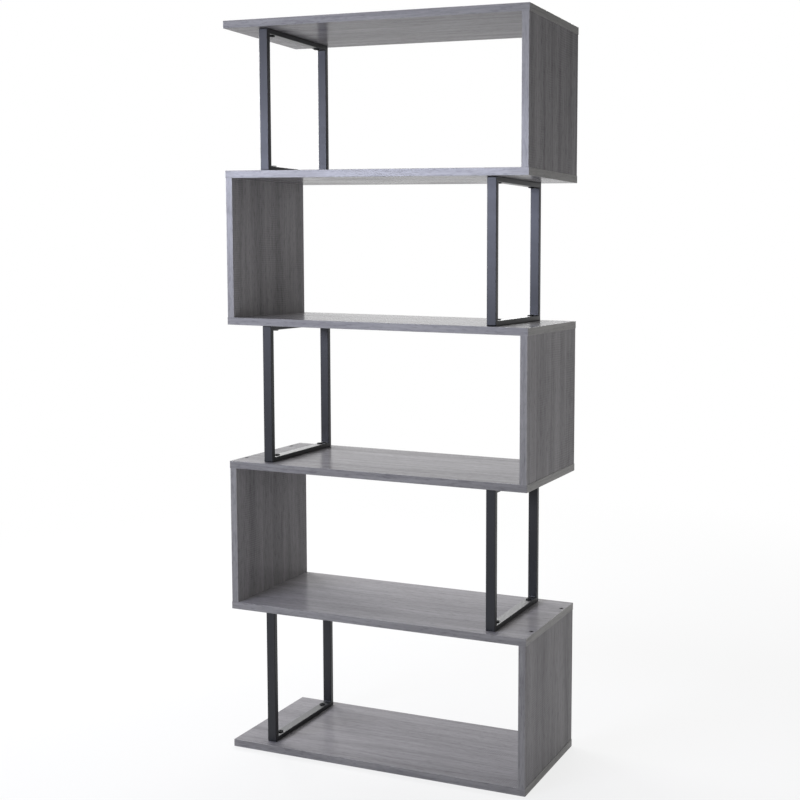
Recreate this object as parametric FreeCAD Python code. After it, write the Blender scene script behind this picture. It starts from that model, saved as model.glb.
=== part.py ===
import FreeCAD, Part
import os

# Zigzag bookshelf: each shelf board is carried by an upright panel at one end and a steel tube
# frame at the other, and the two change ends at every level.
# Millimetres. Origin at the middle of the footprint on the floor, +Z up, the front faces -Y.

# Boards
SHELF_WIDTH = 800.0
SHELF_DEPTH = 300.0
TOTAL_HEIGHT = 1800.0
BOARD_THICKNESS = 18.0
LEVELS = 5
END_OVERHANG = 1.0
BAND_THICKNESS = 1.0
BAND_ROUND = 0.6
BAND_JOINT = 0.1

# Tube frames
TUBE_WIDTH = 24.0
TUBE_HEIGHT = 12.0
TUBE_WALL = 1.2
TUBE_ROUND = 1.5
FRAME_ROUND = 3.0
FRAME_END_GAP = 87.0
FRAME_SETBACK = 19.0

# Drilling lines in the boards
DRILL_INSET = 55.0
DOWEL_SPACING = 32.0

# Frame bolts and their threaded inserts
BOLT_DIAMETER = 6.0
BOLT_HEAD_DIAMETER = 14.0
BOLT_HEAD_HEIGHT = 2.5
BOLT_HEAD_CHAMFER = 0.5
BOLT_TIP_CHAMFER = 0.8
BOLT_TIP_GAP = 2.0
BOLT_HEX = 4.0
BOLT_HEX_FLOOR = 0.8
BOLT_CLEARANCE = 0.3
INSERT_DIAMETER = 10.0
INSERT_FLOOR = 4.5

# Joining screws and dowels between shelf and upright
SCREW_DIAMETER = 5.0
SCREW_HEAD_DIAMETER = 10.0
SCREW_HEAD_RIM = 1.0
SCREW_SINK = 0.5
SCREW_BITE = 32.0
SCREW_TIP = 2.0
SCREW_HEX = 4.0
SCREW_HEX_DEPTH = 2.2
DOWEL_DIAMETER = 8.0
DOWEL_BITE = 19.0
DOWEL_FLOOR = 7.0
DOWEL_CHAMFER = 0.8

# Room round fasteners in their holes, room past their ends, and the reach of a cut past its face
FIT_CLEARANCE = 0.1
END_CLEARANCE = 0.5
CUT_OVERRUN = 1.0

PARALLEL_TOLERANCE = 1e-6
LEVEL_PITCH = (TOTAL_HEIGHT - BOARD_THICKNESS) / LEVELS
HALF_WIDTH = SHELF_WIDTH / 2
HALF_DEPTH = SHELF_DEPTH / 2
INSERT_LENGTH = BOARD_THICKNESS - INSERT_FLOOR
SIDE_NAMES = {1: "right", -1: "left"}
ALONG_X = FreeCAD.Vector(1, 0, 0)
ALONG_Y = FreeCAD.Vector(0, 1, 0)
ALONG_Z = FreeCAD.Vector(0, 0, 1)


def upright_side(level):
    """Side of a level's upright panel: right on the lowest level, then alternating."""
    return 1 if level % 2 == 0 else -1


def shelf_bottom(shelf):
    """Height of a shelf board's underside."""
    return shelf * LEVEL_PITCH


def shelf_top(shelf):
    """Height of a shelf board's upper face."""
    return shelf_bottom(shelf) + BOARD_THICKNESS


def upright_x(level):
    """Middle plane of a level's upright panel."""
    return upright_side(level) * (HALF_WIDTH - END_OVERHANG - BOARD_THICKNESS / 2)


def frame_x(level):
    """Middle plane of a level's tube frame, on the side away from the upright."""
    return -upright_side(level) * (HALF_WIDTH - FRAME_END_GAP - TUBE_WIDTH / 2)


def drill_lines():
    """The two lines along the shelf that carry the bolts and screws, front and rear."""
    return (DRILL_INSET - HALF_DEPTH, HALF_DEPTH - DRILL_INSET)


def dowel_lines():
    """The two lines of dowels, one spacing inside the screws."""
    return (DRILL_INSET + DOWEL_SPACING - HALF_DEPTH, HALF_DEPTH - DRILL_INSET - DOWEL_SPACING)


def block(low, high):
    """Box between two corners."""
    size = FreeCAD.Vector(*high) - FreeCAD.Vector(*low)
    return Part.makeBox(size.x, size.y, size.z, FreeCAD.Vector(*low))


def rounded_along(shape, axis, radius):
    """Shape with its straight edges along an axis rounded, or left sharp where no radius is left."""
    edges = [edge for edge in shape.Edges
             if edge.tangentAt(edge.FirstParameter).cross(axis).Length < PARALLEL_TOLERANCE]
    return shape.makeFillet(radius, edges) if radius > 0 else shape


def turned(points):
    """Solid of revolution about Z from a closed outline of (radius, height) points."""
    outline = Part.makePolygon([FreeCAD.Vector(r, 0, z) for r, z in points + points[:1]])
    return Part.Face(outline).revolve(FreeCAD.Vector(0, 0, 0), ALONG_Z, 360)


def hexagon_pocket(across_flats, top, depth):
    """Hexagonal prism that cuts a key socket downwards from a head's top."""
    side = across_flats / 3 ** 0.5
    outline = Part.makePolygon([
        FreeCAD.Vector(side, 0, top - depth),
        FreeCAD.Vector(side / 2, across_flats / 2, top - depth),
        FreeCAD.Vector(-side / 2, across_flats / 2, top - depth),
        FreeCAD.Vector(-side, 0, top - depth),
        FreeCAD.Vector(-side / 2, -across_flats / 2, top - depth),
        FreeCAD.Vector(side / 2, -across_flats / 2, top - depth),
        FreeCAD.Vector(side, 0, top - depth),
    ])
    return Part.Face(outline).extrude(FreeCAD.Vector(0, 0, depth + CUT_OVERRUN))


def set_at(shape, place):
    """Copy of a fastener or hole that points down, moved to (x, y, z) and turned over if it points up."""
    x, y, z, points_up = place
    copy = shape.copy()
    if points_up:
        copy.rotate(FreeCAD.Vector(0, 0, 0), ALONG_X, 180)
    copy.translate(FreeCAD.Vector(x, y, z))
    return copy


def screw_places():
    """Screw seats: into each upright from the shelf face below it and the shelf face above it."""
    places = []
    for level in range(LEVELS):
        for y in drill_lines():
            places.append((upright_x(level), y, shelf_bottom(level), True))
            places.append((upright_x(level), y, shelf_top(level + 1), False))
    return places


def dowel_places():
    """Dowel seats, on the faces where shelf and upright meet, each pointing into the shelf."""
    places = []
    for level in range(LEVELS):
        for y in dowel_lines():
            places.append((upright_x(level), y, shelf_top(level), False))
            places.append((upright_x(level), y, shelf_bottom(level + 1), True))
    return places


def bolt_seats(level):
    """A frame's four bolt seats on the inner faces of its bars."""
    seats = []
    for y in drill_lines():
        seats.append((frame_x(level), y, shelf_top(level) + TUBE_HEIGHT, False))
        seats.append((frame_x(level), y, shelf_bottom(level + 1) - TUBE_HEIGHT, True))
    return seats


def insert_places():
    """Insert seats on the shelf faces that the frames stand against."""
    places = []
    for level in range(LEVELS):
        for y in drill_lines():
            places.append((frame_x(level), y, shelf_top(level), False))
            places.append((frame_x(level), y, shelf_bottom(level + 1), True))
    return places


def screw():
    """Countersunk joining screw with a hexagon socket, its seat face at height zero."""
    head = SCREW_HEAD_DIAMETER / 2
    shank = SCREW_DIAMETER / 2
    top = -SCREW_SINK
    cone_top = top - SCREW_HEAD_RIM
    end = -BOARD_THICKNESS - SCREW_BITE
    body = turned([
        (0, top),
        (head, top),
        (head, cone_top),
        (shank, cone_top - (head - shank)),
        (shank, end + SCREW_TIP),
        (0, end),
    ])
    return body.cut(hexagon_pocket(SCREW_HEX, top, SCREW_HEX_DEPTH))


def screw_hole():
    """Countersunk hole for a joining screw, through the shelf and on into the upright's end."""
    head = SCREW_HEAD_DIAMETER / 2 + FIT_CLEARANCE
    shank = SCREW_DIAMETER / 2 + FIT_CLEARANCE
    cone_top = -SCREW_SINK - SCREW_HEAD_RIM
    end = -BOARD_THICKNESS - SCREW_BITE - END_CLEARANCE
    return turned([
        (0, CUT_OVERRUN),
        (head, CUT_OVERRUN),
        (head, cone_top),
        (shank, cone_top - (head - shank)),
        (shank, end),
        (0, end),
    ])


def dowel_reach():
    """How far a dowel goes into the shelf board."""
    return BOARD_THICKNESS - DOWEL_FLOOR


def dowel():
    """Wooden dowel with chamfered ends, its shorter part in the shelf and the rest in the upright."""
    radius = DOWEL_DIAMETER / 2
    neck = radius - DOWEL_CHAMFER
    return turned([
        (0, DOWEL_BITE),
        (neck, DOWEL_BITE),
        (radius, DOWEL_BITE - DOWEL_CHAMFER),
        (radius, DOWEL_CHAMFER - dowel_reach()),
        (neck, -dowel_reach()),
        (0, -dowel_reach()),
    ])


def dowel_hole():
    """Hole for a dowel in both boards."""
    radius = DOWEL_DIAMETER / 2 + FIT_CLEARANCE
    length = DOWEL_BITE + dowel_reach() + 2 * END_CLEARANCE
    return Part.makeCylinder(radius, length, FreeCAD.Vector(0, 0, -dowel_reach() - END_CLEARANCE))


def bolt():
    """Flat-headed frame bolt with a hexagon socket, the underside of its head at height zero."""
    head = BOLT_HEAD_DIAMETER / 2
    shank = BOLT_DIAMETER / 2
    end = BOLT_TIP_GAP - TUBE_HEIGHT - INSERT_LENGTH
    body = turned([
        (0, BOLT_HEAD_HEIGHT),
        (head - BOLT_HEAD_CHAMFER, BOLT_HEAD_HEIGHT),
        (head, BOLT_HEAD_HEIGHT - BOLT_HEAD_CHAMFER),
        (head, 0),
        (shank, 0),
        (shank, end + BOLT_TIP_CHAMFER),
        (shank - BOLT_TIP_CHAMFER, end),
        (0, end),
    ])
    return body.cut(hexagon_pocket(BOLT_HEX, BOLT_HEAD_HEIGHT, BOLT_HEAD_HEIGHT - BOLT_HEX_FLOOR))


def bolt_hole():
    """Hole for a bolt through both walls of a bar, from the bar's inner face."""
    radius = BOLT_DIAMETER / 2 + BOLT_CLEARANCE
    length = TUBE_HEIGHT + 2 * CUT_OVERRUN
    return Part.makeCylinder(radius, length, FreeCAD.Vector(0, 0, -TUBE_HEIGHT - CUT_OVERRUN))


def insert():
    """Threaded insert, flush with the shelf face."""
    outer = Part.makeCylinder(INSERT_DIAMETER / 2, INSERT_LENGTH, FreeCAD.Vector(0, 0, -INSERT_LENGTH))
    radius = BOLT_DIAMETER / 2 + FIT_CLEARANCE
    length = INSERT_LENGTH + 2 * CUT_OVERRUN
    bore = Part.makeCylinder(radius, length, FreeCAD.Vector(0, 0, -INSERT_LENGTH - CUT_OVERRUN))
    return outer.cut(bore)


def insert_hole():
    """Blind hole for a threaded insert."""
    radius = INSERT_DIAMETER / 2 + FIT_CLEARANCE
    depth = INSERT_LENGTH + END_CLEARANCE
    return Part.makeCylinder(radius, depth + CUT_OVERRUN, FreeCAD.Vector(0, 0, -depth))


def board_holes():
    """Every hole in the boards."""
    holes = [set_at(screw_hole(), place) for place in screw_places()]
    holes += [set_at(dowel_hole(), place) for place in dowel_places()]
    holes += [set_at(insert_hole(), place) for place in insert_places()]
    return holes


def drilled(board, holes):
    """Board with the holes that reach into it."""
    near = [hole for hole in holes if hole.BoundBox.intersect(board.BoundBox)]
    return board.cut(near) if near else board


def shelf_outline(shelf):
    """Banded shelf board with its outer edges rounded."""
    low = (-HALF_WIDTH, -HALF_DEPTH, shelf_bottom(shelf))
    high = (HALF_WIDTH, HALF_DEPTH, shelf_top(shelf))
    whole = block(low, high)
    return whole.makeFillet(BAND_ROUND, whole.Edges)


def shelf_core(shelf):
    """Shelf board inside its banding."""
    low = (BAND_THICKNESS - HALF_WIDTH, BAND_THICKNESS - HALF_DEPTH, shelf_bottom(shelf))
    high = (HALF_WIDTH - BAND_THICKNESS, HALF_DEPTH - BAND_THICKNESS, shelf_top(shelf))
    return shelf_outline(shelf).common(block(low, high))


def shelf_bands(shelf):
    """Four bands: front and rear over the full width, the ends between them, a glue joint at each corner."""
    outline = shelf_outline(shelf)
    bottom = shelf_bottom(shelf)
    top = shelf_top(shelf)
    end_reach = HALF_DEPTH - BAND_THICKNESS - BAND_JOINT
    bands = []
    for side in (-1, 1):
        inner_y = side * (HALF_DEPTH - BAND_THICKNESS)
        outer_y = side * HALF_DEPTH
        long_low = (-HALF_WIDTH, min(inner_y, outer_y), bottom)
        long_high = (HALF_WIDTH, max(inner_y, outer_y), top)
        bands.append(outline.common(block(long_low, long_high)))
        inner_x = side * (HALF_WIDTH - BAND_THICKNESS)
        outer_x = side * HALF_WIDTH
        end_low = (min(inner_x, outer_x), -end_reach, bottom)
        end_high = (max(inner_x, outer_x), end_reach, top)
        bands.append(outline.common(block(end_low, end_high)))
    return Part.makeCompound(bands)


def upright_outline(level):
    """Banded upright panel with its vertical edges rounded."""
    low = (upright_x(level) - BOARD_THICKNESS / 2, -HALF_DEPTH, shelf_top(level))
    high = (upright_x(level) + BOARD_THICKNESS / 2, HALF_DEPTH, shelf_bottom(level + 1))
    return rounded_along(block(low, high), ALONG_Z, BAND_ROUND)


def upright_core(level):
    """Upright panel between its bands."""
    low = (upright_x(level) - BOARD_THICKNESS / 2, BAND_THICKNESS - HALF_DEPTH, shelf_top(level))
    high = (upright_x(level) + BOARD_THICKNESS / 2, HALF_DEPTH - BAND_THICKNESS, shelf_bottom(level + 1))
    return upright_outline(level).common(block(low, high))


def upright_bands(level):
    """Front and rear bands of an upright panel."""
    outline = upright_outline(level)
    bands = []
    for side in (-1, 1):
        inner_y = side * (HALF_DEPTH - BAND_THICKNESS)
        outer_y = side * HALF_DEPTH
        low = (upright_x(level) - BOARD_THICKNESS / 2, min(inner_y, outer_y), shelf_top(level))
        high = (upright_x(level) + BOARD_THICKNESS / 2, max(inner_y, outer_y), shelf_bottom(level + 1))
        bands.append(outline.common(block(low, high)))
    return Part.makeCompound(bands)


def tube(low, high, along):
    """Flat steel tube between two corners, its long edges rounded, open along one axis."""
    outer = rounded_along(block(low, high), along, TUBE_ROUND)
    wall = FreeCAD.Vector(TUBE_WALL, TUBE_WALL, TUBE_WALL) - along * (TUBE_WALL + CUT_OVERRUN)
    inner = block(FreeCAD.Vector(*low) + wall, FreeCAD.Vector(*high) - wall)
    return outer.cut(rounded_along(inner, along, TUBE_ROUND - TUBE_WALL))


def frame_outline(level):
    """Block round a whole frame, with the frame's outer corners ground round."""
    half_width = TUBE_WIDTH / 2 + CUT_OVERRUN
    reach = HALF_DEPTH - FRAME_SETBACK
    low = (frame_x(level) - half_width, -reach, shelf_top(level))
    high = (frame_x(level) + half_width, reach, shelf_bottom(level + 1))
    return rounded_along(block(low, high), ALONG_X, FRAME_ROUND)


def mitred(member, level, points):
    """Member cut to a trapezium of (y, z) points, so its ends are mitred at the frame's rounded corners."""
    start = frame_x(level) - TUBE_WIDTH / 2 - CUT_OVERRUN
    outline = Part.makePolygon([FreeCAD.Vector(start, y, z) for y, z in points + points[:1]])
    wedge = Part.Face(outline).extrude(FreeCAD.Vector(TUBE_WIDTH + 2 * CUT_OVERRUN, 0, 0))
    return member.common(wedge).common(frame_outline(level))


def frame_post(level, side):
    """Front or rear post of a frame."""
    bottom = shelf_top(level)
    top = shelf_bottom(level + 1)
    outer = side * (HALF_DEPTH - FRAME_SETBACK)
    inner = side * (HALF_DEPTH - FRAME_SETBACK - TUBE_HEIGHT)
    low = (frame_x(level) - TUBE_WIDTH / 2, min(outer, inner), bottom)
    high = (frame_x(level) + TUBE_WIDTH / 2, max(outer, inner), top)
    member = tube(low, high, ALONG_Z)
    return mitred(member, level, [
        (outer, bottom),
        (outer, top),
        (inner, top - TUBE_HEIGHT),
        (inner, bottom + TUBE_HEIGHT),
    ])


def frame_bar(level, seat, inner):
    """Top or bottom bar of a frame, from its seat height on the shelf to its inner height, drilled."""
    reach = HALF_DEPTH - FRAME_SETBACK
    low = (frame_x(level) - TUBE_WIDTH / 2, -reach, min(seat, inner))
    high = (frame_x(level) + TUBE_WIDTH / 2, reach, max(seat, inner))
    member = tube(low, high, ALONG_Y)
    member = mitred(member, level, [
        (-reach, seat),
        (reach, seat),
        (reach - TUBE_HEIGHT, inner),
        (TUBE_HEIGHT - reach, inner),
    ])
    return drilled(member, [set_at(bolt_hole(), place) for place in bolt_seats(level)])


def fasteners(shape, places):
    """Group of identical fasteners."""
    return Part.makeCompound([set_at(shape, place) for place in places])


def board_nodes():
    """Shelves and uprights with their bands, by node name."""
    holes = board_holes()
    nodes = {}
    for shelf in range(LEVELS + 1):
        name = f"shelf_{shelf + 1}"
        nodes[f"{name}_board"] = drilled(shelf_core(shelf), holes)
        nodes[f"{name}_edge_bands"] = shelf_bands(shelf)
    for level in range(LEVELS):
        name = f"upright_{level + 1}_{SIDE_NAMES[upright_side(level)]}"
        nodes[f"{name}_board"] = drilled(upright_core(level), holes)
        nodes[f"{name}_edge_bands"] = upright_bands(level)
    return nodes


def frame_nodes():
    """The four tubes of every frame, by node name."""
    nodes = {}
    for level in range(LEVELS):
        name = f"frame_{level + 1}_{SIDE_NAMES[-upright_side(level)]}"
        bottom = shelf_top(level)
        top = shelf_bottom(level + 1)
        nodes[f"{name}_front_post"] = frame_post(level, -1)
        nodes[f"{name}_rear_post"] = frame_post(level, 1)
        nodes[f"{name}_bottom_bar"] = frame_bar(level, bottom, bottom + TUBE_HEIGHT)
        nodes[f"{name}_top_bar"] = frame_bar(level, top, top - TUBE_HEIGHT)
    return nodes


def fastener_nodes():
    """Groups of identical fasteners, by node name."""
    seats = [seat for level in range(LEVELS) for seat in bolt_seats(level)]
    return {
        "frame_bolts": fasteners(bolt(), seats),
        "threaded_inserts": fasteners(insert(), insert_places()),
        "joining_screws": fasteners(screw(), screw_places()),
        "dowels": fasteners(dowel(), dowel_places()),
    }


def main():
    """Build every node and write its STEP file."""
    os.makedirs("parts", exist_ok=True)
    nodes = {**board_nodes(), **frame_nodes(), **fastener_nodes()}
    for name, shape in nodes.items():
        shape.exportStep(f"parts/{name}.step")
        print(name, len(shape.Solids), "solids,", round(shape.Volume), "mm3, valid", shape.isValid())


main()
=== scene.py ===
import logging
import math
from dataclasses import dataclass, replace
from enum import Enum

import bpy
import numpy as np
from mathutils import Matrix, Vector


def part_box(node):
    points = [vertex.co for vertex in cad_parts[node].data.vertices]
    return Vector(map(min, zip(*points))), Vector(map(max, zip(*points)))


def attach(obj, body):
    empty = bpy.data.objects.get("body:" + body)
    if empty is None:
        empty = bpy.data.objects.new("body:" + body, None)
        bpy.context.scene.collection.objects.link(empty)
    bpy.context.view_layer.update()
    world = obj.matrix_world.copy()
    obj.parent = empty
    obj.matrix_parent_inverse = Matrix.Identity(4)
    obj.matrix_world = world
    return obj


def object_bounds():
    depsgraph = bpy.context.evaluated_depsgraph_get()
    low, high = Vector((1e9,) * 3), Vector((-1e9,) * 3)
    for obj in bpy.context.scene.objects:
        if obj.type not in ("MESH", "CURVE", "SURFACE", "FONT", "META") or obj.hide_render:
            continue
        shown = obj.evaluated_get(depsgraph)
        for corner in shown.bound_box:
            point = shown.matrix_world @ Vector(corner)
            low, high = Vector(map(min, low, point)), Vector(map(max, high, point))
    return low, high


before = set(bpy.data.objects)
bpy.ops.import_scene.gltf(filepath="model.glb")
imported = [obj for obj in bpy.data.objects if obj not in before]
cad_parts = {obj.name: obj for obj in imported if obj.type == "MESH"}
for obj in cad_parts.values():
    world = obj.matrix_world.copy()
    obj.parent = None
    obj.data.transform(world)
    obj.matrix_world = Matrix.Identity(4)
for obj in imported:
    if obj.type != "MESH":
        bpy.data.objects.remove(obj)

LOG = logging.getLogger("zigzag_bookshelf")
CAD_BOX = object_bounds()
ROOT = "root"

Colour = tuple[float, float, float]
Point = tuple[float, float, float]
Span = tuple[float, float]
Socket = bpy.types.NodeSocket

ORIGIN: Point = (0.0, 0.0, 0.0)
WHITE: Colour = (1.0, 1.0, 1.0)
SHARP_EDGE = math.radians(35.0)

# Shift of the printed figure from board to board, in metres
FIGURE_STEP_ALONG = 1.9
FIGURE_REACH_ACROSS = 0.11
FIGURE_STEP_UP = 0.013
GOLDEN_SECTION = (math.sqrt(5.0) - 1) / 2


class Grain(Enum):
    """Direction that the wood grain runs in, as the turn that brings it onto X."""

    ALONG_X = (0.0, 0.0, 0.0)
    ALONG_Y = (0.0, 0.0, -math.pi / 2)
    ALONG_Z = (0.0, math.pi / 2, 0.0)


class Side(Enum):
    """End of the shelves that a piece stands at."""

    LEFT = "left"
    RIGHT = "right"

    @property
    def other(self) -> "Side":
        """The opposite end."""
        return Side.LEFT if self is Side.RIGHT else Side.RIGHT


@dataclass(frozen=True)
class Blots:
    """Noise drawn out along the axes, and the levels between which it shows as a mark.

    Attributes:
        number: Blots in each unit of length along X, Y and Z.
        octaves: Octaves of finer noise.
        weight: Weight of the finer octaves.
        levels: Levels of the noise at which a mark starts, and is full.
    """

    number: tuple[float, float, float]
    octaves: float = 2.0
    weight: float = 0.5
    levels: Span = (0.0, 1.0)


class Graph:
    """Adds nodes to a shader tree and joins them.

    A Mix node's sockets go by number, because their names repeat for numbers, vectors and colours.
    """

    MIX_FACTOR = 0
    MIX_VECTORS = (4, 5)
    MIX_COLOURS = (6, 7)
    MIXED_VECTOR = 1
    MIXED_COLOUR = 2

    def __init__(self, tree: bpy.types.NodeTree) -> None:
        """Keep the tree that the nodes go into.

        Args:
            tree: Node tree of a material, a world or a node group.
        """
        self.tree = tree

    def add(self, kind: str, inputs: dict | None = None, **settings: object) -> bpy.types.Node:
        """Add one node.

        Args:
            kind: Blender's name for the node type.
            inputs: Values or sockets for its inputs, by name or number.
            settings: Other settings of the node.

        Returns:
            The new node.
        """
        node = self.tree.nodes.new(kind)
        for key, value in settings.items():
            setattr(node, key, value)
        for key, value in (inputs or {}).items():
            self.feed(node.inputs[key], value)
        return node

    def feed(self, socket: Socket, value: object) -> None:
        """Link a socket to an input, or set the input's own value.

        Args:
            socket: Input to feed.
            value: Output socket to link, or a constant.
        """
        if isinstance(value, Socket):
            self.tree.links.new(value, socket)
        else:
            socket.default_value = value

    def math(self, operation: str, *values: object) -> Socket:
        """Number worked out from one to three others.

        Args:
            operation: Name of the Math node's operation.
            values: Sockets or constants.

        Returns:
            The result.
        """
        return self.add("ShaderNodeMath", dict(enumerate(values)), operation=operation).outputs[0]

    def vector(self, operation: str, *values: object) -> Socket:
        """Vector worked out from others.

        Args:
            operation: Name of the Vector Math node's operation.
            values: Sockets or constants.

        Returns:
            The result.
        """
        return self.add("ShaderNodeVectorMath", dict(enumerate(values)), operation=operation).outputs[0]

    def scaled(self, place: Socket, scale: Socket) -> Socket:
        """Place counted in units of another length.

        Args:
            place: Place on the piece in metres.
            scale: Units per metre.

        Returns:
            The place in those units.
        """
        inputs = {0: place, "Scale": scale}
        return self.add("ShaderNodeVectorMath", inputs, operation="SCALE").outputs[0]

    def spread(self, value: Socket, levels: Span, results: Span = (0.0, 1.0)) -> Socket:
        """Smooth step between two levels.

        Args:
            value: Number to spread out.
            levels: Lower and upper level.
            results: Result at or below the lower level, and at or above the upper one.

        Returns:
            The spread number.
        """
        inputs = {"Value": value, "From Min": levels[0], "From Max": levels[1],
                  "To Min": results[0], "To Max": results[1]}
        return self.add("ShaderNodeMapRange", inputs, interpolation_type="SMOOTHSTEP").outputs[0]

    def noise(self, place: Socket, blots: Blots) -> bpy.types.Node:
        """Noise with its own number of blots along each axis.

        Args:
            place: Place on the piece.
            blots: Number and fineness of the blots.

        Returns:
            The noise node.
        """
        inputs = {"Vector": self.vector("MULTIPLY", place, blots.number), "Scale": 1.0,
                  "Detail": blots.octaves, "Roughness": blots.weight}
        return self.add("ShaderNodeTexNoise", inputs)

    def mark(self, place: Socket, blots: Blots) -> Socket:
        """Noise spread between its two levels.

        Args:
            place: Place on the piece.
            blots: Number, fineness and levels of the blots.

        Returns:
            Strength of the mark from zero to one.
        """
        return self.spread(self.noise(place, blots).outputs[0], blots.levels)

    def blend(self, factor: object, first: object, second: object) -> Socket:
        """Colour between two others.

        Args:
            factor: Share of the second colour.
            first: Colour or socket at zero.
            second: Colour or socket at one.

        Returns:
            The blended colour.
        """
        inputs = {self.MIX_FACTOR: factor, **dict(zip(self.MIX_COLOURS, (opaque(first), opaque(second))))}
        return self.add("ShaderNodeMix", inputs, data_type="RGBA").outputs[self.MIXED_COLOUR]

    def either(self, test: Socket, when_zero: Socket, when_one: Socket) -> Socket:
        """One of two vectors.

        Args:
            test: Zero or one.
            when_zero: Vector for a test of zero.
            when_one: Vector for a test of one.

        Returns:
            The vector that the test picks.
        """
        inputs = {self.MIX_FACTOR: test, **dict(zip(self.MIX_VECTORS, (when_zero, when_one)))}
        return self.add("ShaderNodeMix", inputs, data_type="VECTOR").outputs[self.MIXED_VECTOR]

    def relief(self, shader: bpy.types.Node, height: Socket, depth: float) -> None:
        """Bump a shader's surface.

        Args:
            shader: Principled shader.
            height: Height of the surface, where one is the full depth.
            depth: Full depth in metres.
        """
        bump = self.add("ShaderNodeBump", {"Height": height, "Strength": 1.0, "Distance": depth})
        self.feed(shader.inputs["Normal"], bump.outputs[0])


def opaque(colour: object) -> object:
    """A constant colour with its alpha, or the socket as it is."""
    return colour if isinstance(colour, Socket) else (*colour, 1.0)


class GroupMaker:
    """Base for an effect that several finishes share, kept as one shader node group."""

    NAME = ""
    INPUTS: dict[str, tuple[str, object]] = {}
    OUTPUTS: tuple[str, ...] = ()

    @classmethod
    def place(cls, graph: Graph, inputs: dict[str, object]) -> bpy.types.Node:
        """Put the group into a material.

        Args:
            graph: Graph of the material.
            inputs: Values or sockets for the group's named inputs.

        Returns:
            The group node.
        """
        return graph.add("ShaderNodeGroup", inputs, node_tree=cls.tree())

    @classmethod
    def tree(cls) -> bpy.types.NodeTree:
        """The group's tree, built the first time it is asked for."""
        if cls.NAME in bpy.data.node_groups:
            return bpy.data.node_groups[cls.NAME]
        tree = bpy.data.node_groups.new(cls.NAME, "ShaderNodeTree")
        for name, (kind, default) in cls.INPUTS.items():
            socket = tree.interface.new_socket(name=name, in_out="INPUT", socket_type=kind)
            socket.default_value = default
        for name in cls.OUTPUTS:
            tree.interface.new_socket(name=name, in_out="OUTPUT", socket_type="NodeSocketFloat")
        graph = Graph(tree)
        given = graph.add("NodeGroupInput")
        graph.add("NodeGroupOutput", cls.fill(graph, given))
        return tree

    @classmethod
    def fill(cls, graph: Graph, given: bpy.types.Node) -> dict[str, Socket]:
        """Build the effect inside the group.

        Args:
            graph: Graph of the group.
            given: Group input node.

        Returns:
            Socket for each output, by name.
        """
        raise NotImplementedError


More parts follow.
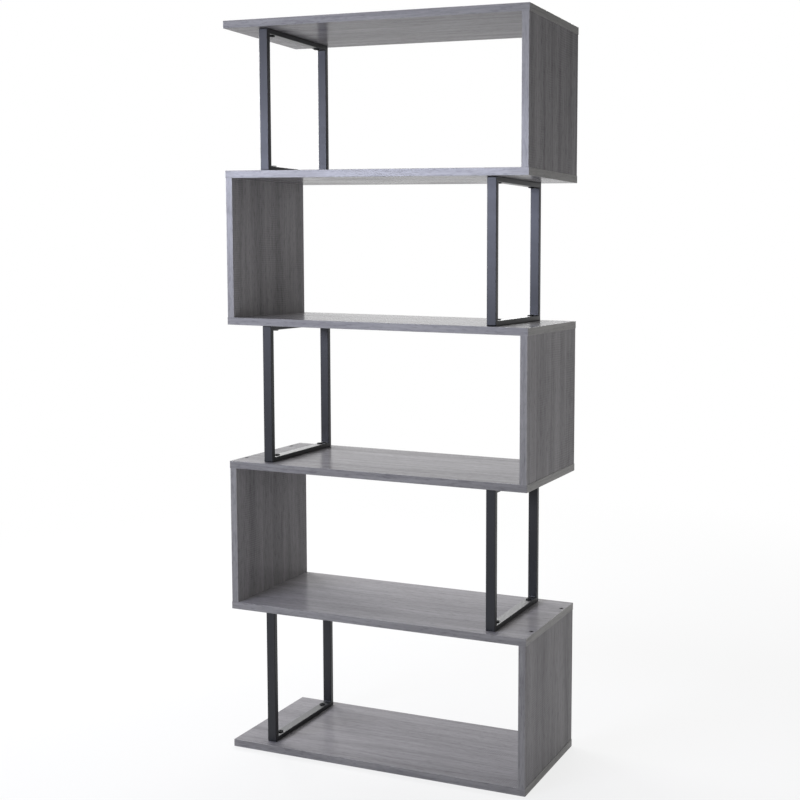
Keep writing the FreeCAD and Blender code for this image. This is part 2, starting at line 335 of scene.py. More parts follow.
class WoodGrain(GroupMaker):
    """Printed oak figure with the grain along X: bands, veins, streaks, dashes, saw marks and pores."""

    NAME = "Wood grain"
    INPUTS = {
        "Place": ("NodeSocketVector", ORIGIN),
        "Ring spacing": ("NodeSocketFloat", 0.021),
        "Pith depth": ("NodeSocketFloat", 0.06),
        "Pith slope": ("NodeSocketFloat", 0.05),
        "Saw pitch": ("NodeSocketFloat", 0.0056),
    }
    OUTPUTS = ("Band", "Vein", "Streak", "Dash", "Saw", "Pore")
    DRIFTS = Blots((2.6, 6.0, 6.0))
    DRIFT_MIDDLE = (0.5, 0.5, 0.5)
    DRIFT_REACH = (0.0, 0.026, 0.026)
    PATCHES = Blots((5.0, 12.0, 12.0), octaves=3.0, levels=(0.43, 0.68))
    BANDS = Blots((0.9, 27.0, 27.0), levels=(0.32, 0.68))
    FADES = Blots((1.3, 9.0, 9.0), levels=(0.46, 0.58))
    STREAKS = Blots((3.2, 130.0, 130.0), octaves=3.0, weight=0.6, levels=(0.33, 0.67))
    DASHES = Blots((42.0, 230.0, 230.0), weight=0.6, levels=(0.51, 0.69))
    PORES = Blots((58.0, 980.0, 980.0), octaves=1.0, levels=(0.58, 0.70))
    RING_JITTER = 0.9
    LATE_WOOD_POWER = 4.0
    SAW_JITTER = 2.4
    SAW_LEVELS = (-0.6, 0.9)

    @classmethod
    def fill(cls, graph: Graph, given: bpy.types.Node) -> dict[str, Socket]:
        """Veins from growth rings, saw marks from a sine along X, the rest from noise drawn out along X.

        Args:
            graph: Graph of the group.
            given: Group input node.

        Returns:
            Socket for each output, by name.
        """
        place = given.outputs["Place"]
        drift = graph.vector("SUBTRACT", graph.noise(place, cls.DRIFTS).outputs["Color"], cls.DRIFT_MIDDLE)
        wavy = graph.vector("MULTIPLY_ADD", drift, cls.DRIFT_REACH, place)
        patch = graph.noise(wavy, cls.PATCHES).outputs[0]
        return {
            "Band": graph.mark(wavy, cls.BANDS),
            "Vein": cls.veins(graph, given, wavy, patch),
            "Streak": graph.mark(wavy, cls.STREAKS),
            "Dash": graph.mark(wavy, cls.DASHES),
            "Saw": cls.saw_marks(graph, given, wavy, patch),
            "Pore": graph.mark(wavy, cls.PORES),
        }

    @classmethod
    def veins(cls, graph: Graph, given: bpy.types.Node, wavy: Socket, patch: Socket) -> Socket:
        """Late wood of growth rings about a pith line that slopes below the face.

        A vein darkens towards the outer side of its ring and ends there at once: a power of the ring's
        fraction. Veins fade in and out, and none is right above the pith.

        Args:
            graph: Graph of the group.
            given: Group input node.
            wavy: Place with the grain drifting sideways.
            patch: Uneven number that shifts the rings.

        Returns:
            Strength of the veins.
        """
        along, across, level = graph.add("ShaderNodeSeparateXYZ", {0: wavy}).outputs
        pith = graph.math("MULTIPLY_ADD", along, given.outputs["Pith slope"], given.outputs["Pith depth"])
        below = graph.math("ADD", level, pith)
        aside = graph.math("MULTIPLY", across, across)
        square = graph.math("MULTIPLY_ADD", below, below, aside)
        radius = graph.math("SQRT", square)
        rings = cls.shifted(graph, radius, given.outputs["Ring spacing"], patch, cls.RING_JITTER)
        late = graph.math("POWER", graph.math("FRACT", rings), cls.LATE_WOOD_POWER)
        off_pith = graph.math("DIVIDE", aside, square)
        shown = graph.math("MULTIPLY", graph.mark(wavy, cls.FADES), off_pith)
        return graph.math("MULTIPLY", late, shown)

    @classmethod
    def saw_marks(cls, graph: Graph, given: bpy.types.Node, wavy: Socket, patch: Socket) -> Socket:
        """Sine along X, shifted by the patches and kept inside them.

        Args:
            graph: Graph of the group.
            given: Group input node.
            wavy: Place with the grain drifting sideways.
            patch: Uneven number that shifts and limits the marks.

        Returns:
            Strength of the saw marks.
        """
        along = graph.add("ShaderNodeSeparateXYZ", {0: wavy}).outputs["X"]
        cuts = cls.shifted(graph, along, given.outputs["Saw pitch"], patch, cls.SAW_JITTER)
        wave = graph.math("SINE", graph.math("MULTIPLY", cuts, 2 * math.pi))
        return graph.math("MULTIPLY", graph.spread(wave, cls.SAW_LEVELS),
                          graph.spread(patch, cls.PATCHES.levels))

    @staticmethod
    def shifted(graph: Graph, distance: Socket, pitch: Socket, unrest: Socket, jitter: float) -> Socket:
        """Number of pitches in a distance, shifted by an uneven number.

        Args:
            graph: Graph of the group.
            distance: Distance in metres.
            pitch: Length of one pitch in metres.
            unrest: Uneven number that shifts the count.
            jitter: Pitches of shift for each one of unrest.

        Returns:
            The count.
        """
        return graph.math("MULTIPLY_ADD", unrest, jitter, graph.math("DIVIDE", distance, pitch))


class Handling(GroupMaker):
    """Faint cloudy marks left by wiping and handling."""

    NAME = "Handling marks"
    INPUTS = {"Place": ("NodeSocketVector", ORIGIN), "Blots per metre": ("NodeSocketFloat", 6.0)}
    OUTPUTS = ("Cloud", "Wipe")
    CLOUDS = Blots((1.0, 1.0, 1.0), octaves=3.0, levels=(0.35, 0.65))
    WIPES = Blots((0.6, 2.6, 2.6), octaves=4.0, weight=0.6, levels=(0.4, 0.7))

    @classmethod
    def fill(cls, graph: Graph, given: bpy.types.Node) -> dict[str, Socket]:
        """Round blots of noise, and the same drawn out sideways as wiping marks.

        Args:
            graph: Graph of the group.
            given: Group input node.

        Returns:
            Socket for each output, by name.
        """
        scaled = graph.scaled(given.outputs["Place"], given.outputs["Blots per metre"])
        return {"Cloud": graph.mark(scaled, cls.CLOUDS), "Wipe": graph.mark(scaled, cls.WIPES)}


class CoatPeel(GroupMaker):
    """Fine orange peel and specks of a baked coat."""

    NAME = "Coat peel"
    INPUTS = {"Place": ("NodeSocketVector", ORIGIN), "Grains per metre": ("NodeSocketFloat", 700.0)}
    OUTPUTS = ("Peel", "Speck")
    PEEL = Blots((1.0, 1.0, 1.0))
    SPECKS = Blots((0.35, 0.35, 0.35), octaves=1.0, levels=(0.62, 0.74))

    @classmethod
    def fill(cls, graph: Graph, given: bpy.types.Node) -> dict[str, Socket]:
        """Peel is noise at the grain's size, and specks are the highest peaks of a coarser one.

        Args:
            graph: Graph of the group.
            given: Group input node.

        Returns:
            Socket for each output, by name.
        """
        scaled = graph.scaled(given.outputs["Place"], given.outputs["Grains per metre"])
        return {"Peel": graph.noise(scaled, cls.PEEL).outputs[0], "Speck": graph.mark(scaled, cls.SPECKS)}


@dataclass(frozen=True)
class Finish:
    """Base of every finish: starts a material with a Principled shader and the place on the piece.

    Attributes:
        name: Name of the finish, used for its materials.
    """

    name: str

    def start(self, suffix: str = "") -> tuple[bpy.types.Material, Graph, bpy.types.Node, Socket]:
        """New material.

        Args:
            suffix: Words that tell this material from others of the same finish.

        Returns:
            The material, its graph, its Principled shader and the object coordinates.
        """
        material = bpy.data.materials.new(f"{self.name}_{suffix}" if suffix else self.name)
        material.use_nodes = True
        graph = Graph(material.node_tree)
        shader = material.node_tree.nodes["Principled BSDF"]
        place = graph.add("ShaderNodeTexCoord").outputs["Object"]
        return material, graph, shader, place

    @staticmethod
    def settle(shader: bpy.types.Node, values: dict[str, object]) -> None:
        """Set what is the same all over the surface.

        Args:
            shader: Principled shader.
            values: Constants for its inputs, by name.
        """
        for name, value in values.items():
            shader.inputs[name].default_value = value


@dataclass(frozen=True)
class PrintAndLight:
    """How one board's facing came out of the press, with painted light and shade in its tone.

    Attributes:
        tone: Factor on the colours of the wood. Small factors vary the boards; larger ones are painted
            light and shade, brightening a face that the lamps leave too dark and darkening one they leave
            too light.
        figure: Factor on the strength of the figure.
    """

    tone: float = 1.0
    figure: float = 1.0


@dataclass(frozen=True)
class GreyOak(Finish):
    """Grey oak printed facing on board.

    Attributes:
        light: Colour of the pale early wood.
        dark: Colour of the streaks and late wood.
        pore: Colour of the pores.
        band_share: Weight of the broad bands in the figure.
        vein_share: Weight of the thin dark veins.
        streak_share: Weight of the streaks.
        dash_share: Weight of the short dashes.
        saw_share: Weight of the saw marks.
        pore_share: Strength of the pores.
        roughness: Roughness of a clean face.
        smudge: Added roughness where the face was handled.
        smudges: Handling marks per metre.
        bump_height: Depth of the embossed pores in metres.
        specular: Specular level of the facing.
    """

    light: Colour = (0.262, 0.254, 0.260)
    dark: Colour = (0.082, 0.078, 0.083)
    pore: Colour = (0.070, 0.066, 0.071)
    band_share: float = 0.26
    vein_share: float = 1.1
    streak_share: float = 0.19
    dash_share: float = 0.21
    saw_share: float = 0.16
    pore_share: float = 0.35
    roughness: float = 0.18
    smudge: float = 0.08
    smudges: float = 5.0
    bump_height: float = 0.00002
    specular: float = 0.055

    def printed_and_lit(self, run: PrintAndLight) -> "GreyOak":
        """The same finish as one board has it, with its tone's painted light and shade.

        Args:
            run: Tone, with its painted light and shade, and strength of the board's print.

        Returns:
            The changed finish.
        """
        shares = ("band_share", "vein_share", "streak_share", "dash_share", "saw_share")
        changes = {name: run.figure * getattr(self, name) for name in shares}
        # The tone scales the light and dark colours: well above one it is painted light, well below one
        # painted shade.
        for name in ("light", "dark"):
            changes[name] = tuple(run.tone * part for part in getattr(self, name))
        return replace(self, **changes)

    def material(self, suffix: str, grain: Grain, offset: Point) -> bpy.types.Material:
        """Facing of one board.

        Args:
            suffix: Name of the board.
            grain: Direction of the grain.
            offset: Shift of the figure in metres, so that boards differ.

        Returns:
            The material.
        """
        material, graph, shader, place = self.start(suffix)
        self.paint(graph, shader, self.laid(graph, place, grain, offset), place)
        return material

    @staticmethod
    def laid(graph: Graph, place: Socket, grain: Grain, offset: Point) -> Socket:
        """Place on the figure, which has its grain along X.

        Args:
            graph: Graph of the material.
            place: Place on the piece.
            grain: Direction of the grain on the piece.
            offset: Shift of the figure in metres.

        Returns:
            The turned and shifted place.
        """
        inputs = {"Vector": place, "Rotation": grain.value, "Location": offset}
        return graph.add("ShaderNodeMapping", inputs).outputs[0]

    def paint(self, graph: Graph, shader: bpy.types.Node, along: Socket, place: Socket) -> None:
        """Join the grain and the handling marks to the shader.

        Args:
            graph: Graph of the material.
            shader: Principled shader.
            along: Place with the grain along X.
            place: Place on the piece.
        """
        wood = WoodGrain.place(graph, {"Place": along}).outputs
        marks = Handling.place(graph, {"Place": place, "Blots per metre": self.smudges}).outputs
        figure = graph.math("MULTIPLY", wood["Band"], self.band_share)
        figure = graph.math("MULTIPLY_ADD", wood["Vein"], self.vein_share, figure)
        figure = graph.math("MULTIPLY_ADD", wood["Streak"], self.streak_share, figure)
        figure = graph.math("MULTIPLY_ADD", wood["Dash"], self.dash_share, figure)
        figure = graph.math("MULTIPLY_ADD", wood["Saw"], self.saw_share, figure)
        facing = graph.blend(figure, self.light, self.dark)
        pores = graph.math("MULTIPLY", wood["Pore"], self.pore_share)
        worn = graph.math("MULTIPLY_ADD", marks["Wipe"], self.smudge, self.roughness)
        graph.feed(shader.inputs["Base Color"], graph.blend(pores, facing, self.pore))
        graph.feed(shader.inputs["Roughness"], worn)
        graph.relief(shader, graph.math("SUBTRACT", wood["Dash"], wood["Pore"]), self.bump_height)
        self.settle(shader, {"Specular IOR Level": self.specular})


@dataclass(frozen=True)
class CalmOak(GreyOak):
    """The same facing with a quieter figure, for the shelves."""

    band_share: float = 0.20
    vein_share: float = 0.4
    streak_share: float = 0.21


@dataclass(frozen=True)
class OakBand(GreyOak):
    """Edge band with the same print and a smoother face, its grain along each strip."""

    light: Colour = (0.212, 0.206, 0.197)
    dark: Colour = (0.084, 0.080, 0.081)
    band_share: float = 0.12
    vein_share: float = 0.3
    streak_share: float = 0.42
    dash_share: float = 0.36
    saw_share: float = 0.0
    roughness: float = 0.31
    bump_height: float = 0.00003
    specular: float = 0.40

    def shelf_material(self, suffix: str, offset: Point, long_reach: float) -> bpy.types.Material:
        """Bands of a shelf: along X at the front and rear, along Y at the ends.

        Args:
            suffix: Name of the shelf.
            offset: Shift of the figure in metres.
            long_reach: Distance from the middle plane past which a place is on the front or rear band.

        Returns:
            The material.
        """
        material, graph, shader, place = self.start(suffix)
        depth = graph.math("ABSOLUTE", graph.add("ShaderNodeSeparateXYZ", {0: place}).outputs["Y"])
        is_long = graph.math("GREATER_THAN", depth, long_reach)
        at_end = self.laid(graph, place, Grain.ALONG_Y, offset)
        at_front = self.laid(graph, place, Grain.ALONG_X, offset)
        self.paint(graph, shader, graph.either(is_long, at_end, at_front), place)
        return material


@dataclass(frozen=True)
class Beech(GreyOak):
    """Plain beech of the dowels."""

    light: Colour = (0.70, 0.52, 0.33)
    dark: Colour = (0.52, 0.36, 0.21)
    pore: Colour = (0.40, 0.26, 0.15)
    roughness: float = 0.6


@dataclass(frozen=True)
class PowderCoat(Finish):
    """Satin black powder coat on steel, with a smooth skin over its orange peel.

    Attributes:
        colour: Colour of the coat.
        dust: Colour of the faint dust in its marks.
        dust_share: Strength of the dust.
        roughness: Roughness of a clean face.
        smudge: Added roughness where it was handled.
        smudges: Handling marks per metre.
        peel_height: Height of the orange peel in metres.
        grains: Peel grains per metre.
        specular: Specular level of the coat under its skin.
        sheen: Colour of the coat's own reflections.
        skin: Share of the coat that the skin covers.
        skin_index: Refractive index of the skin.
        skin_roughness: Roughness of the skin.
    """

    colour: Colour = (0.0085, 0.0088, 0.0098)
    dust: Colour = (0.019, 0.019, 0.020)
    dust_share: float = 0.35
    roughness: float = 0.35
    smudge: float = 0.08
    smudges: float = 9.0
    peel_height: float = 0.00006
    grains: float = 650.0
    specular: float = 0.12
    sheen: Colour = (0.84, 0.89, 1.0)
    skin: float = 1.0
    skin_index: float = 1.30
    skin_roughness: float = 0.40

    def material(self) -> bpy.types.Material:
        """Coat of all the tubes.

        Returns:
            The material.
        """
        material, graph, shader, place = self.start()
        coat = CoatPeel.place(graph, {"Place": place, "Grains per metre": self.grains}).outputs
        marks = Handling.place(graph, {"Place": place, "Blots per metre": self.smudges}).outputs
        specks = graph.math("MAXIMUM", marks["Cloud"], coat["Speck"])
        dusty = graph.math("MULTIPLY", specks, self.dust_share)
        worn = graph.math("MULTIPLY_ADD", marks["Wipe"], self.smudge, self.roughness)
        graph.feed(shader.inputs["Base Color"], graph.blend(dusty, self.colour, self.dust))
        graph.feed(shader.inputs["Roughness"], worn)
        graph.relief(shader, coat["Peel"], self.peel_height)
        self.settle(shader, {
            "Specular IOR Level": self.specular,
            "Specular Tint": opaque(self.sheen),
            "Coat Weight": self.skin,
            "Coat IOR": self.skin_index,
            "Coat Roughness": self.skin_roughness,
        })
        return material


@dataclass(frozen=True)
class PlatedSteel(Finish):
    """Zinc-plated steel of a fastener.

    Attributes:
        colour: Colour of the clean surface.
        tarnish: Colour in the handled blots.
        tarnish_blots: Tarnished blots per metre.
        metallic: One for bare plating, zero for a black finish.
        roughness: Roughness of a clean face.
        unevenness: Added roughness on the highest grains.
        grains: Grains per metre.
        specular: Specular level of a finish that isn't metallic.
    """

    colour: Colour = (0.62, 0.62, 0.60)
    tarnish: Colour = (0.42, 0.41, 0.39)
    tarnish_blots: float = 140.0
    metallic: float = 1.0
    roughness: float = 0.30
    unevenness: float = 0.15
    grains: float = 2200.0
    specular: float = 0.5

    def material(self) -> bpy.types.Material:
        """Finish of a group of fasteners.

        Returns:
            The material.
        """
        material, graph, shader, place = self.start()
        marks = Handling.place(graph, {"Place": place, "Blots per metre": self.tarnish_blots}).outputs
        coat = CoatPeel.place(graph, {"Place": place, "Grains per metre": self.grains}).outputs
        uneven = graph.math("MULTIPLY_ADD", coat["Peel"], self.unevenness, self.roughness)
        tarnished = graph.blend(marks["Cloud"], self.colour, self.tarnish)
        graph.feed(shader.inputs["Base Color"], tarnished)
        graph.feed(shader.inputs["Roughness"], uneven)
        self.settle(shader, {"Metallic": self.metallic, "Specular IOR Level": self.specular})
        return material


@dataclass(frozen=True)
class BlackSteel(PlatedSteel):
    """Matt blackened steel of the bolts and screws."""

    colour: Colour = (0.009, 0.009, 0.010)
    tarnish: Colour = (0.014, 0.014, 0.015)
    metallic: float = 0.0
    roughness: float = 0.62
    unevenness: float = 0.12
    specular: float = 0.05


@dataclass
class Shelf:
    """One shelf board with its bands.

    Attributes:
        number: Place from the floor, counted from one.
        board_finish: Finish of the board.
        band_finish: Finish of the bands.
    """

    number: int
    board_finish: GreyOak
    band_finish: OakBand
    BAND_MIDDLE_SHARE = 0.5
    # Shelf 2's tone of 1.10 is painted light that brightens its top; the smaller tones of shelves 1, 3 and
    # 6 vary the boards.
    PRINTS_AND_LIGHT = {
        1: PrintAndLight(tone=0.97, figure=0.9),
        2: PrintAndLight(tone=1.10),
        3: PrintAndLight(tone=1.05, figure=1.6),
        6: PrintAndLight(tone=1.02, figure=1.5),
    }

    @property
    def name(self) -> str:
        """Start of the shelf's node names."""
        return f"shelf_{self.number}"

    def dress(self) -> None:
        """Give the board and its bands their finish, each with its own stretch of figure."""
        low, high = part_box(f"{self.name}_board")
        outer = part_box(f"{self.name}_edge_bands")[1].y
        long_reach = high.y + self.BAND_MIDDLE_SHARE * (outer - high.y)
        offset = figure_offset(self.number, -low.z)
        finish = self.board_finish.printed_and_lit(self.PRINTS_AND_LIGHT.get(self.number, PrintAndLight()))
        put_on(f"{self.name}_board", finish.material(self.name, Grain.ALONG_X, offset))
        put_on(f"{self.name}_edge_bands", self.band_finish.shelf_material(self.name, offset, long_reach))


@dataclass
class Upright:
    """One upright panel with its bands.

    Attributes:
        level: Level from the floor, counted from one.
        side: End of the shelves that it stands at.
        board_finish: Finish of the panel.
        band_finish: Finish of the bands.
    """

    level: int
    side: Side
    board_finish: GreyOak
    band_finish: OakBand
    # Upright 4's tone of 1.30 is painted light on its inner face, and the tones of 0.90 and 0.92 on
    # uprights 1 and 5 are painted shade on their outer faces; upright 2's small tone varies the boards.
    PRINTS_AND_LIGHT = {
        1: PrintAndLight(tone=0.90, figure=1.1),
        2: PrintAndLight(tone=1.03),
        3: PrintAndLight(figure=1.2),
        4: PrintAndLight(tone=1.30),
        5: PrintAndLight(tone=0.92, figure=1.4),
    }

    @property
    def name(self) -> str:
        """Start of the upright's node names."""
        return f"upright_{self.level}_{self.side.value}"

    def dress(self) -> None:
        """Give the panel and its bands their finish, with the grain upright."""
        offset = figure_offset(self.level + len(shelf_numbers()), 0.0)
        finish = self.board_finish.printed_and_lit(self.PRINTS_AND_LIGHT.get(self.level, PrintAndLight()))
        put_on(f"{self.name}_board", finish.material(self.name, Grain.ALONG_Z, offset))
        put_on(f"{self.name}_edge_bands", self.band_finish.material(self.name, Grain.ALONG_Z, offset))


@dataclass
class TubeFrame:
    """One welded loop of flat tube. Lengths are in metres.

    Attributes:
        level: Level from the floor, counted from one.
        side: End of the shelves that it stands at.
        coat: Material of the coat.
        weld_leg: Leg of the fillet weld in each inner corner.
        weld_sunk: Depth that a weld is sunk into the tubes.
        weld_ripple: Share by which the leg swells and shrinks along the weld.
        ripple_pitch: Length of one ripple of the weld.
        edge_room: Width left free at the tube's rounded edges.
    """

    level: int
    side: Side
    coat: bpy.types.Material
    weld_leg: float = 0.0026
    weld_sunk: float = 0.0004
    weld_ripple: float = 0.07
    ripple_pitch: float = 0.0017
    edge_room: float = 0.0022
    TUBES = ("front_post", "rear_post", "bottom_bar", "top_bar")
    COAT_SLOT = "black_powder_coat"
    RINGS = 61
    ARC_POINTS = 9

    @property
    def name(self) -> str:
        """Start of the frame's node names."""
        return f"frame_{self.level}_{self.side.value}"

    def dress(self) -> None:
        """Coat the four tubes."""
        for tube in self.TUBES:
            put_on(f"{self.name}_{tube}", self.coat)

    def build(self) -> bpy.types.Object:
        """Fillet welds in the four inner corners of the loop.

        Returns:
            One piece that holds the four welds.
        """
        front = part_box(f"{self.name}_front_post")[1].y
        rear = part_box(f"{self.name}_rear_post")[0].y
        low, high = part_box(f"{self.name}_bottom_bar")
        bottom = high.z
        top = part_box(f"{self.name}_top_bar")[0].z
        along = np.linspace(low.x + self.edge_room, high.x - self.edge_room, self.RINGS)
        welds = [self.weld(along, y, z, way_y, way_z)
                 for y, way_y in ((front, 1.0), (rear, -1.0)) for z, way_z in ((bottom, 1.0), (top, -1.0))]
        piece = swept_piece(f"{self.name}_weld_fillets", welds)
        piece.data.materials.append(self.coat)
        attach(piece, ROOT)
        return piece

    def weld(self, along: np.ndarray, y: float, z: float, way_y: float, way_z: float) -> np.ndarray:
        """Concave fillet carried along X: a corner, two legs and the quarter circle between their ends.

        The leg's length is weld_leg times one plus a small sine of the place along the weld. The quarter
        circle about (leg, leg) runs from (leg, 0) to (0, leg).

        Args:
            along: Places along X.
            y: Place of the post's inner face along Y.
            z: Height of the bar's inner face.
            way_y: Sign of Y that points into the loop.
            way_z: Sign of Z that points into the loop.

        Returns:
            Rings of points, shaped (places, points, 3), each turning the same way.
        """
        ripple = np.sin(2 * np.pi * along / self.ripple_pitch)
        leg = self.weld_leg * (1 + self.weld_ripple * ripple)[:, None]
        angle = np.linspace(0.0, np.pi / 2, self.ARC_POINTS)
        sunk = np.full_like(leg, -self.weld_sunk)
        across = np.hstack([sunk, leg, leg * (1 - np.sin(angle)), sunk])
        up = np.hstack([sunk, sunk, leg * (1 - np.cos(angle)), leg])
        places = np.broadcast_to(along[:, None], across.shape)
        rings = np.stack([places, y + way_y * across, z + way_z * up], axis=2)
        return rings if way_y * way_z > 0 else rings[:, ::-1]


@dataclass
class Fasteners:
    """The groups of bolts, inserts, screws and dowels.

    Attributes:
        finishes: Material of each group, by node name.
    """

    finishes: dict[str, bpy.types.Material]

    def dress(self) -> None:
        """Give each group its finish."""
        for node, material in self.finishes.items():
            put_on(node, material)


@dataclass(frozen=True)
class Softbox:
    """Rectangular studio lamp.

    Attributes:
        name: Name of the lamp.
        place: Middle of the lamp in metres.
        target: Point that it faces.
        size: Width and height in metres.
        power: Power in watts.
        colour: Colour of its light.
    """

    name: str
    place: Point
    target: Point
    size: Span
    power: float
    colour: Colour = WHITE

    def build(self) -> bpy.types.Object:
        """Hang the lamp.

        Returns:
            The lamp's object.
        """
        lamp = bpy.data.lights.new(self.name, "AREA")
        lamp.shape = "RECTANGLE"
        lamp.size, lamp.size_y = self.size
        lamp.energy = self.power
        lamp.color = self.colour
        facing = Vector(self.target) - Vector(self.place)
        piece = bpy.data.objects.new(self.name, lamp)
        piece.location = self.place
        piece.rotation_euler = facing.to_track_quat("-Z", "Y").to_euler()
        bpy.context.collection.objects.link(piece)
        return piece


@dataclass(frozen=True)
class PhotoCamera:
    """Camera at the photograph's viewpoint.

    Attributes:
        place: Lens position in metres.
        azimuth: Turn to the left from looking along +Y, in degrees.
        pitch: Tilt above the horizon, in degrees.
        roll: Turn about the viewing line, in degrees.
        image: Side of the square image in pixels.
        focal: Focal length in pixels.
        lens_centre: Pixel that the lens points at.
    """

    place: Point = (1.4261, -2.5489, 1.2593)
    azimuth: float = 18.84
    pitch: float = -4.92
    roll: float = 0.73
    image: float = 800.0
    focal: float = 1167.2
    lens_centre: Span = (615.7, 352.3)
    SENSOR_MM = 36.0
    LEVEL_TILT = 90.0

    def build(self) -> bpy.types.Object:
        """Set the camera up and make it the scene's camera.

        Returns:
            The camera's object.
        """
        data = bpy.data.cameras.new("photo_camera")
        data.sensor_width = self.SENSOR_MM
        data.lens = self.SENSOR_MM * self.focal / self.image
        data.shift_x = 0.5 - self.lens_centre[0] / self.image
        data.shift_y = self.lens_centre[1] / self.image - 0.5
        camera = bpy.data.objects.new("photo_camera", data)
        heading = Matrix.Rotation(math.radians(self.azimuth), 4, "Z")
        tilt = Matrix.Rotation(math.radians(self.LEVEL_TILT + self.pitch), 4, "X")
        roll = Matrix.Rotation(math.radians(self.roll), 4, "Z")
        camera.matrix_world = Matrix.Translation(self.place) @ heading @ tilt @ roll
        bpy.context.collection.objects.link(camera)
        bpy.context.scene.camera = camera
        return camera


@dataclass
class Studio:
    """Floor, sky and lamps round the bookshelf.

    Attributes:
        floor_radius: Radius of the floor disc in metres.
        floor_colour: Colour of the floor.
        floor_roughness: Roughness of the floor.
        floor_glow: Share of plain white that the eye sees in the floor beside the bookshelf.
        glow_reach: Distances at which the floor starts to fade to plain white, and is it.
        floor_mirrored: Share of the floor's white that mirrors see.
        fill: Strength of the fill light from all sides.
        dim_side: Brightness of the unlit upper right in mirrors.
        dim_from: Lean to the right of a mirrored ray at which the unlit side starts, and is reached.
        dim_above: The same for its lean upwards.
        lamps: Softboxes.
    """

    floor_radius: float = 14.0
    floor_colour: Colour = (0.58, 0.58, 0.58)
    floor_roughness: float = 0.9
    floor_glow: float = 0.80
    glow_reach: Span = (1.0, 3.2)
    floor_mirrored: float = 0.66
    fill: float = 0.28
    dim_side: float = 0.35
    dim_from: Span = (-0.1, 0.3)
    dim_above: Span = (-0.10, 0.18)
    lamps: tuple[Softbox, ...] = (
        Softbox("front_strip", place=(-1.50, -2.95, 1.58), target=(0.0, -0.15, 1.40), size=(2.0, 0.42),
                power=87.0, colour=(0.87, 0.91, 1.15)),
        Softbox("rear_high", place=(-0.9, 2.7, 2.7), target=(0.0, 0.0, 0.5), size=(2.4, 1.0), power=74.0),
        Softbox("left_rear", place=(-2.6, 1.2, 1.9), target=(0.0, 0.0, 0.5), size=(1.6, 1.2), power=100.0),
        Softbox("right_side", place=(1.8, -0.75, 0.8), target=(0.1, 0.0, 0.9), size=(1.2, 0.8), power=6.8),
        Softbox("overhead", place=(0.0, 0.0, 3.3), target=ORIGIN, size=(1.0, 0.5), power=6.5),
    )
    RINGS = 12
    SPOKES = 96

    def build(self) -> None:
        """Lay the floor, set the sky and hang the lamps."""
        LOG.info("laid %s", self.lay_floor().name)
        self.set_sky()
        for lamp in self.lamps:
            LOG.info("hung %s", lamp.build().name)

    def lay_floor(self) -> bpy.types.Object:
        """Flat disc on a polar grid: the place is radius times the cosine and sine of the angle.

        Returns:
            The floor's object.
        """
        level = CAD_BOX[0].z
        radius = np.linspace(0.0, self.floor_radius, self.RINGS + 1)[1:]
        angle = np.linspace(0.0, 2 * np.pi, self.SPOKES, endpoint=False)
        spread, turn = np.meshgrid(radius, angle, indexing="ij")
        grid = np.stack([spread * np.cos(turn), spread * np.sin(turn), np.full_like(turn, level)], axis=2)
        points = np.vstack([grid.reshape(-1, 3), [[0.0, 0.0, level]]])
        index = np.arange(self.RINGS * self.SPOKES).reshape(self.RINGS, self.SPOKES)
        middle = np.full(self.SPOKES, len(points) - 1)
        fan = np.stack([middle, index[0], np.roll(index[0], -1)], axis=1)
        floor = mesh_piece("floor", points, ring_quads(index) + fan.tolist())
        floor.data.materials.append(self.floor_material())
        return floor

    def floor_material(self) -> bpy.types.Material:
        """Pale matt floor that the eye and mirrors see as nearly white, shadows kept.

        Returns:
            The material.
        """
        material = bpy.data.materials.new("pale_floor")
        material.use_nodes = True
        graph = Graph(material.node_tree)
        matt = material.node_tree.nodes["Principled BSDF"]
        Finish.settle(matt, {"Base Color": opaque(self.floor_colour), "Roughness": self.floor_roughness})
        glow = graph.add("ShaderNodeEmission", {"Color": opaque(WHITE), "Strength": 1.0})
        place = graph.add("ShaderNodeTexCoord").outputs["Object"]
        away = graph.add("ShaderNodeVectorMath", {0: place}, operation="LENGTH").outputs["Value"]
        share = graph.spread(away, self.glow_reach, (self.floor_glow, 1.0))
        seen = graph.math("MULTIPLY", seen_rays(graph, self.floor_mirrored), share)
        mixed = graph.add("ShaderNodeMixShader", {0: seen, 1: matt.outputs[0], 2: glow.outputs[0]})
        graph.feed(material.node_tree.nodes["Material Output"].inputs["Surface"], mixed.outputs[0])
        return material

    def set_sky(self) -> None:
        """White background for the eye, with an unlit side for mirrors, and an even fill for the rest."""
        world = bpy.data.worlds.new("studio")
        world.use_nodes = True
        bpy.context.scene.world = world
        graph = Graph(world.node_tree)
        fill = world.node_tree.nodes["Background"]
        Finish.settle(fill, {"Color": opaque(WHITE), "Strength": self.fill})
        direction = graph.add("ShaderNodeTexCoord").outputs["Generated"]
        lean = graph.add("ShaderNodeSeparateXYZ", {0: direction}).outputs
        unlit = graph.math("MULTIPLY", graph.spread(lean["X"], self.dim_from),
                           graph.spread(lean["Z"], self.dim_above))
        mirrored = graph.math("MULTIPLY_ADD", unlit, self.dim_side - 1, 1.0)
        eye = graph.add("ShaderNodeLightPath").outputs["Is Camera Ray"]
        level = graph.math("MAXIMUM", eye, mirrored)
        white = graph.add("ShaderNodeBackground", {"Color": opaque(WHITE), "Strength": level})
        seen = seen_rays(graph)
        mixed = graph.add("ShaderNodeMixShader", {0: seen, 1: fill.outputs[0], 2: white.outputs[0]})
        graph.feed(world.node_tree.nodes["World Output"].inputs["Surface"], mixed.outputs[0])


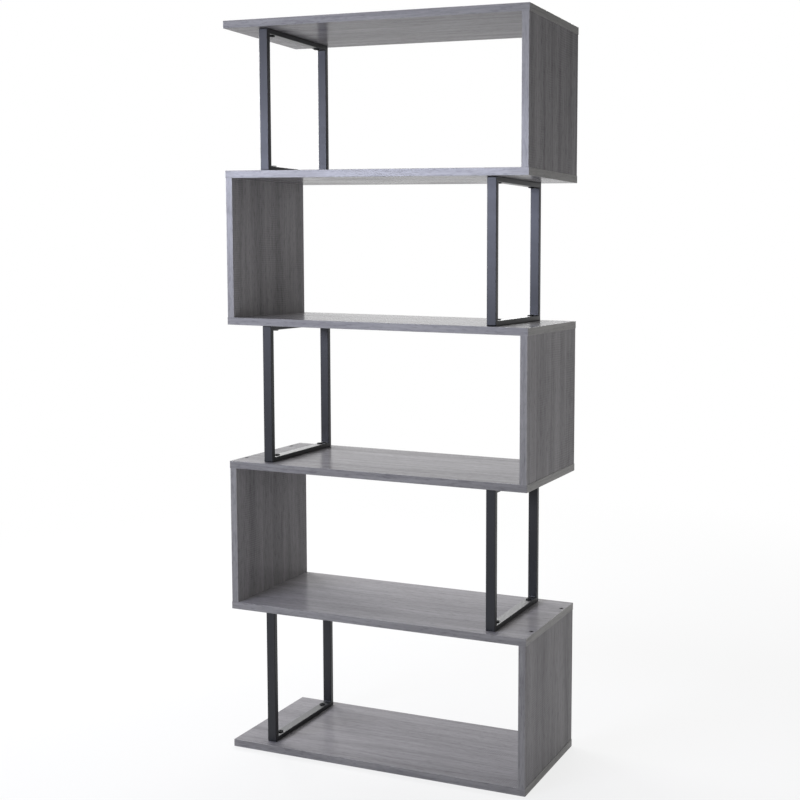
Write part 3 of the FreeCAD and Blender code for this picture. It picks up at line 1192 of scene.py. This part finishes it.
def seen_rays(graph: Graph, mirrored: float = 1.0) -> Socket:
    """One for rays from the eye or through glass, a share for rays from a mirror, and zero for the rest.

    Args:
        graph: Graph of a material or world.
        mirrored: Share for rays from a mirror.

    Returns:
        The mask.
    """
    path = graph.add("ShaderNodeLightPath")
    gloss = graph.math("MULTIPLY", path.outputs["Is Glossy Ray"], mirrored)
    seen = graph.math("MAXIMUM", path.outputs["Is Camera Ray"], gloss)
    return graph.math("MAXIMUM", seen, path.outputs["Is Transmission Ray"])


def ring_quads(index: np.ndarray) -> list[list[int]]:
    """Faces between rings of points: each joins two neighbours on a ring to the same two on the next.

    Args:
        index: Numbers of the points, shaped (rings, points on a ring).

    Returns:
        Numbers of each face's four points.
    """
    ahead = np.roll(index, -1, axis=1)
    return np.stack([index[:-1], index[1:], ahead[1:], ahead[:-1]], axis=2).reshape(-1, 4).tolist()


def mesh_piece(name: str, points: np.ndarray, faces: list[list[int]]) -> bpy.types.Object:
    """New mesh object at the origin.

    Args:
        name: Name of the piece.
        points: Places of the points, shaped (points, 3).
        faces: Numbers of each face's points.

    Returns:
        The object.
    """
    mesh = bpy.data.meshes.new(name)
    mesh.from_pydata(points, [], faces)
    mesh.polygons.foreach_set("use_smooth", np.ones(len(mesh.polygons), dtype=bool))
    mesh.set_sharp_from_angle(angle=SHARP_EDGE)
    mesh.validate()
    mesh.update()
    piece = bpy.data.objects.new(name, mesh)
    bpy.context.collection.objects.link(piece)
    return piece


def swept_piece(name: str, sweeps: list[np.ndarray]) -> bpy.types.Object:
    """One piece from several closed profiles carried along paths, with capped ends.

    Args:
        name: Name of the piece.
        sweeps: Rings of points for each sweep, shaped (rings, points, 3).

    Returns:
        The object.
    """
    faces: list[list[int]] = []
    start = 0
    for rings in sweeps:
        count, around = rings.shape[:2]
        index = start + np.arange(count * around).reshape(count, around)
        faces += ring_quads(index) + [index[0].tolist(), index[-1, ::-1].tolist()]
        start += count * around
    return mesh_piece(name, np.vstack([rings.reshape(-1, 3) for rings in sweeps]), faces)


def put_on(node: str, material: bpy.types.Material) -> None:
    """Dress a construction node.

    Args:
        node: Name of the node.
        material: Its finish.
    """
    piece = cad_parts[node]
    if not piece.material_slots:
        piece.data.materials.append(material)
    for slot in piece.material_slots:
        slot.material = material
    LOG.info("%s wears %s", node, material.name)


def figure_offset(number: int, rise: float) -> Point:
    """Shift of the printed figure for one board, so that no two boards look alike.

    Along the grain and upwards it grows by a fixed step. Across, it is a sine of the number times the
    golden section, which never repeats.

    Args:
        number: Number of the board.
        rise: Shift along Z that brings the board to the print's own height.

    Returns:
        The shift in metres.
    """
    across = FIGURE_REACH_ACROSS * math.sin(2 * math.pi * GOLDEN_SECTION * number)
    return (FIGURE_STEP_ALONG * number, across, rise + FIGURE_STEP_UP * number)


def shelf_numbers() -> list[int]:
    """Numbers of the shelves, from the floor up."""
    boards = [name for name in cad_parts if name.startswith("shelf") and name.endswith("board")]
    return sorted(int(name.split("_")[1]) for name in boards)


def upright_side(level: int) -> Side:
    """End of a level's upright: right on the first level, then alternating.

    Args:
        level: Level counted from one.

    Returns:
        The end.
    """
    return Side.RIGHT if level % 2 else Side.LEFT


def main() -> None:
    """Dress the bookshelf, add its welds and set up the studio."""
    logging.basicConfig(level=logging.INFO, format="%(name)s: %(message)s")
    bpy.context.scene.view_settings.view_transform = "Standard"
    upright_oak, shelf_oak, band = GreyOak("grey_oak"), CalmOak("grey_oak"), OakBand("oak_band")
    coat = PowderCoat("black_coat").material()
    shelves = shelf_numbers()
    for number in shelves:
        Shelf(number, shelf_oak, band).dress()
    for level in shelves[:-1]:
        side = upright_side(level)
        Upright(level, side, upright_oak, band).dress()
        loop = TubeFrame(level, side.other, coat)
        loop.dress()
        LOG.info("built %s", loop.build().name)
    black = BlackSteel("blackened_steel").material()
    Fasteners({
        "frame_bolts": black,
        "joining_screws": black,
        "threaded_inserts": PlatedSteel("zinc_plating").material(),
        "dowels": Beech("beech").material("dowels", Grain.ALONG_Z, ORIGIN),
    }).dress()
    Studio().build()
    PhotoCamera().build()


if __name__ == "__main__":
    main()
